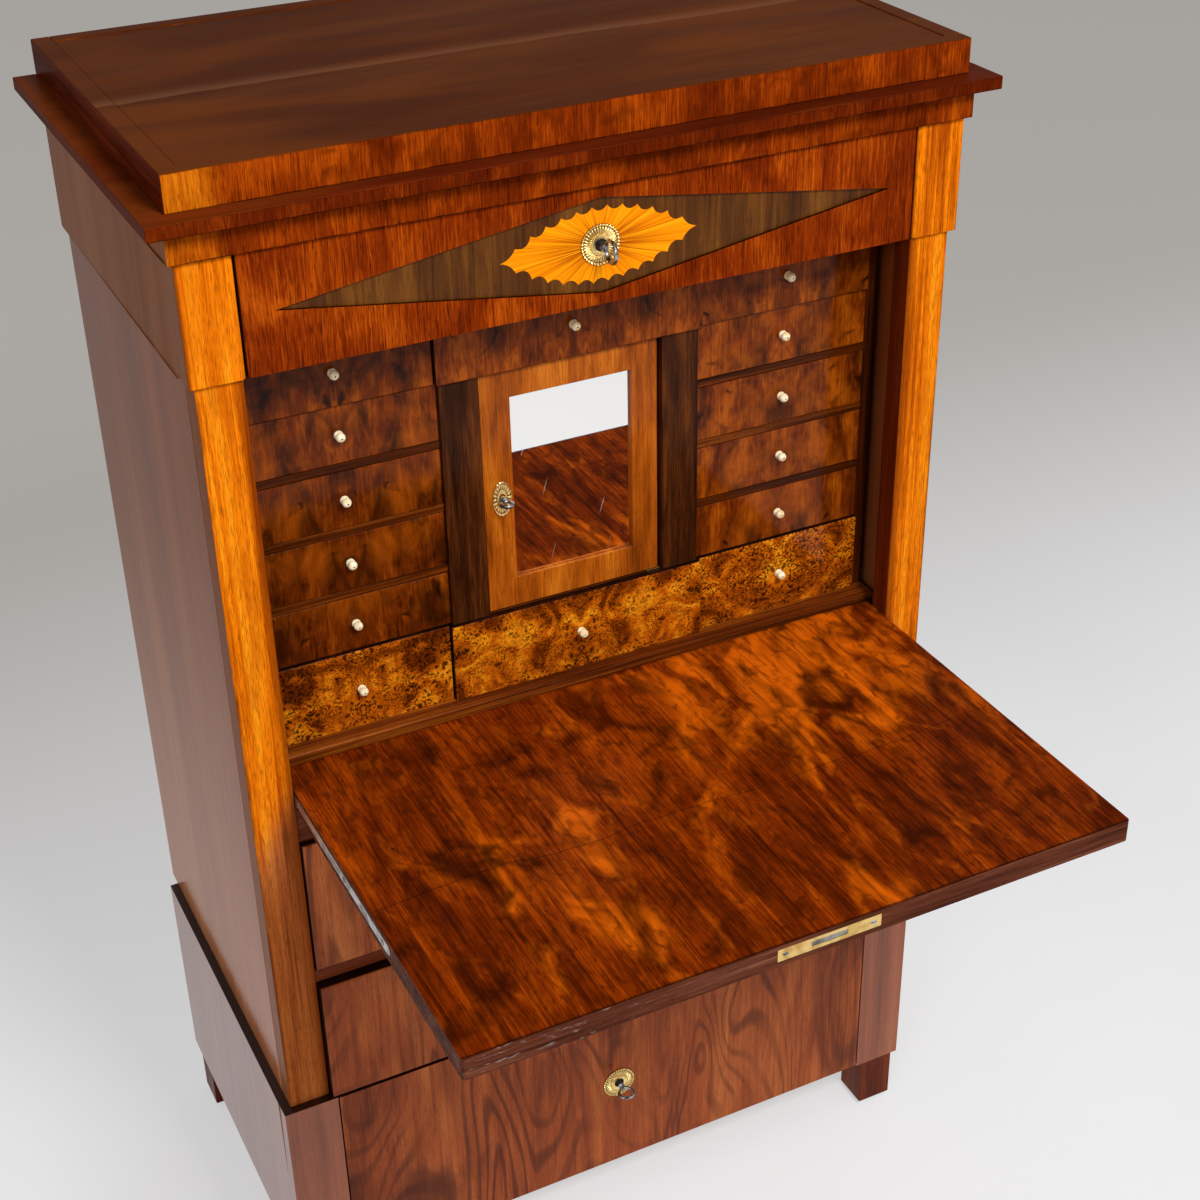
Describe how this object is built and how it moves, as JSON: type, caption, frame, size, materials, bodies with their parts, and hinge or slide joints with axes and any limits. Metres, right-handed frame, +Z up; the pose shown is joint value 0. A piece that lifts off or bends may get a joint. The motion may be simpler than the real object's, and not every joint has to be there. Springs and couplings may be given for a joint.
{
  "type": "fall-front escritoire",
  "caption": "Tall wooden writing cabinet with a hinged fall front, a fitted gallery of small drawers round a mirror door, long drawers below and a frieze drawer above.",
  "frame": {"origin": "on the floor, under the middle of the box that the cabinet fills with its flap open", "axes": "+X to the right seen from the front, +Y to the back, +Z up"},
  "size_m": [0.904, 0.9344, 1.488],
  "materials": {
    "mahogany": "polished",
    "gallery_veneer": "polished",
    "secondary_wood": "plain sawn",
    "lozenge_veneer": "polished",
    "sunburst_veneer": "polished",
    "brass": "worn polish",
    "steel": "worn",
    "mirror_glass": "silvered",
    "dark_metal": "dull"
  },
  "bodies": {
    "carcass": {"side_panels": "mahogany", "front_stiles": "mahogany", "back_panel": "secondary_wood", "front_rails": "mahogany", "drawer_runners": "secondary_wood", "writing_floor": "mahogany", "carcass_boards": "secondary_wood", "frieze_blocks": "mahogany", "frieze_band": "mahogany", "cornice": "mahogany", "top_cap": "mahogany", "plinth_frame": "mahogany", "feet": "mahogany", "foot_glides": "dark_metal", "gallery_case": "gallery_veneer", "gallery_rails": "gallery_veneer", "gallery_pilasters": "gallery_veneer", "flap_pivots": "steel", "door_pivots": "steel"},
    "flap": {"flap_panel": "mahogany", "flap_levers": "steel", "flap_lock": "brass"},
    "flap_bolt": {"flap_bolt": "steel"},
    "frieze_drawer": {"frieze_drawer_front": "mahogany", "lozenge_panel": "lozenge_veneer", "sunburst_inlay": "sunburst_veneer", "frieze_drawer_box": "secondary_wood", "frieze_lock": "brass"},
    "frieze_key": {"frieze_key": "steel"},
    "frieze_bolt": {"frieze_bolt": "steel"},
    "upper_drawer": {"upper_drawer": "mahogany", "upper_lock": "brass"},
    "upper_bolt": {"upper_bolt": "steel"},
    "lower_drawer": {"lower_drawer": "mahogany", "lower_lock": "brass"},
    "lower_bolt": {"lower_bolt": "steel"},
    "plinth_drawer": {"plinth_drawer_front": "mahogany", "plinth_drawer_box": "secondary_wood", "plinth_lock": "brass"},
    "plinth_key": {"plinth_key": "steel"},
    "plinth_bolt": {"plinth_bolt": "steel"},
    "mirror_door": {"door_frame": "gallery_veneer", "mirror": "mirror_glass", "door_lock": "brass"},
    "door_key": {"door_key": "steel"},
    "door_bolt": {"door_bolt": "steel"},
    "left_drawer_1": {"left_drawer_1": "gallery_veneer"},
    "left_drawer_2": {"left_drawer_2": "gallery_veneer"},
    "left_drawer_3": {"left_drawer_3": "gallery_veneer"},
    "left_drawer_4": {"left_drawer_4": "gallery_veneer"},
    "left_drawer_5": {"left_drawer_5": "gallery_veneer"},
    "left_drawer_6": {"left_drawer_6": "gallery_veneer"},
    "right_drawer_1": {"right_drawer_1": "gallery_veneer"},
    "right_drawer_2": {"right_drawer_2": "gallery_veneer"},
    "right_drawer_3": {"right_drawer_3": "gallery_veneer"},
    "right_drawer_4": {"right_drawer_4": "gallery_veneer"},
    "right_drawer_5": {"right_drawer_5": "gallery_veneer"},
    "right_drawer_6": {"right_drawer_6": "gallery_veneer"},
    "centre_drawer_top": {"centre_drawer_top": "gallery_veneer"},
    "centre_drawer_bottom": {"centre_drawer_bottom": "gallery_veneer"}
  },
  "joints": [
    {"name": "flap_hinge", "type": "hinge", "parent": "carcass", "child": "flap", "pos_m": [0, 0.02125, 0.79], "axis": [1, 0, 0], "range_deg": [-90, 0]},
    {"name": "flap_bolt_slide", "type": "slide", "parent": "flap", "child": "flap_bolt", "axis": [0, -1, 0], "range_m": [0, 0.008]},
    {"name": "frieze_drawer_slide", "type": "slide", "parent": "carcass", "child": "frieze_drawer", "axis": [0, -1, 0], "range_m": [0, 0.3]},
    {"name": "frieze_key_turn", "type": "hinge", "parent": "frieze_drawer", "child": "frieze_key", "pos_m": [0, -0.01675, 1.3425], "axis": [0, 1, 0], "range_deg": [0, 180]},
    {"name": "frieze_bolt_slide", "type": "slide", "parent": "frieze_drawer", "child": "frieze_bolt", "axis": [0, 0, 1], "range_m": [0, 0.008]},
    {"name": "upper_drawer_slide", "type": "slide", "parent": "carcass", "child": "upper_drawer", "axis": [0, -1, 0], "range_m": [0, 0.3]},
    {"name": "upper_bolt_slide", "type": "slide", "parent": "upper_drawer", "child": "upper_bolt", "axis": [0, 0, 1], "range_m": [0, 0.008]},
    {"name": "lower_drawer_slide", "type": "slide", "parent": "carcass", "child": "lower_drawer", "axis": [0, -1, 0], "range_m": [0, 0.3]},
    {"name": "lower_bolt_slide", "type": "slide", "parent": "lower_drawer", "child": "lower_bolt", "axis": [0, 0, 1], "range_m": [0, 0.008]},
    {"name": "plinth_drawer_slide", "type": "slide", "parent": "carcass", "child": "plinth_drawer", "axis": [0, -1, 0], "range_m": [0, 0.3]},
    {"name": "plinth_key_turn", "type": "hinge", "parent": "plinth_drawer", "child": "plinth_key", "pos_m": [0, -0.01675, 0.2215], "axis": [0, 1, 0], "range_deg": [0, 180]},
    {"name": "plinth_bolt_slide", "type": "slide", "parent": "plinth_drawer", "child": "plinth_bolt", "axis": [0, 0, 1], "range_m": [0, 0.008]},
    {"name": "mirror_door_hinge", "type": "hinge", "parent": "carcass", "child": "mirror_door", "pos_m": [0.0975, 0.06625, 0.905], "axis": [0, 0, 1], "range_deg": [0, 90]},
    {"name": "door_key_turn", "type": "hinge", "parent": "mirror_door", "child": "door_key", "pos_m": [-0.086, 0.06625, 1.04401], "axis": [0, 1, 0], "range_deg": [0, 180]},
    {"name": "door_bolt_slide", "type": "slide", "parent": "mirror_door", "child": "door_bolt", "axis": [-1, 0, 0], "range_m": [0, 0.006]},
    {"name": "left_drawer_1_slide", "type": "slide", "parent": "carcass", "child": "left_drawer_1", "axis": [0, -1, 0], "range_m": [0, 0.2]},
    {"name": "left_drawer_2_slide", "type": "slide", "parent": "carcass", "child": "left_drawer_2", "axis": [0, -1, 0], "range_m": [0, 0.2]},
    {"name": "left_drawer_3_slide", "type": "slide", "parent": "carcass", "child": "left_drawer_3", "axis": [0, -1, 0], "range_m": [0, 0.2]},
    {"name": "left_drawer_4_slide", "type": "slide", "parent": "carcass", "child": "left_drawer_4", "axis": [0, -1, 0], "range_m": [0, 0.2]},
    {"name": "left_drawer_5_slide", "type": "slide", "parent": "carcass", "child": "left_drawer_5", "axis": [0, -1, 0], "range_m": [0, 0.2]},
    {"name": "left_drawer_6_slide", "type": "slide", "parent": "carcass", "child": "left_drawer_6", "axis": [0, -1, 0], "range_m": [0, 0.2]},
    {"name": "right_drawer_1_slide", "type": "slide", "parent": "carcass", "child": "right_drawer_1", "axis": [0, -1, 0], "range_m": [0, 0.2]},
    {"name": "right_drawer_2_slide", "type": "slide", "parent": "carcass", "child": "right_drawer_2", "axis": [0, -1, 0], "range_m": [0, 0.2]},
    {"name": "right_drawer_3_slide", "type": "slide", "parent": "carcass", "child": "right_drawer_3", "axis": [0, -1, 0], "range_m": [0, 0.2]},
    {"name": "right_drawer_4_slide", "type": "slide", "parent": "carcass", "child": "right_drawer_4", "axis": [0, -1, 0], "range_m": [0, 0.2]},
    {"name": "right_drawer_5_slide", "type": "slide", "parent": "carcass", "child": "right_drawer_5", "axis": [0, -1, 0], "range_m": [0, 0.2]},
    {"name": "right_drawer_6_slide", "type": "slide", "parent": "carcass", "child": "right_drawer_6", "axis": [0, -1, 0], "range_m": [0, 0.2]},
    {"name": "centre_drawer_top_slide", "type": "slide", "parent": "carcass", "child": "centre_drawer_top", "axis": [0, -1, 0], "range_m": [0, 0.2]},
    {"name": "centre_drawer_bottom_slide", "type": "slide", "parent": "carcass", "child": "centre_drawer_bottom", "axis": [0, -1, 0], "range_m": [0, 0.2]}
  ],
  "couplings": [
    {"joint": "frieze_key_turn", "follows": "frieze_bolt_slide", "rad_per_m": 392.69},
    {"joint": "plinth_key_turn", "follows": "plinth_bolt_slide", "rad_per_m": 392.69},
    {"joint": "door_key_turn", "follows": "door_bolt_slide", "rad_per_m": 523.58}
  ]
}
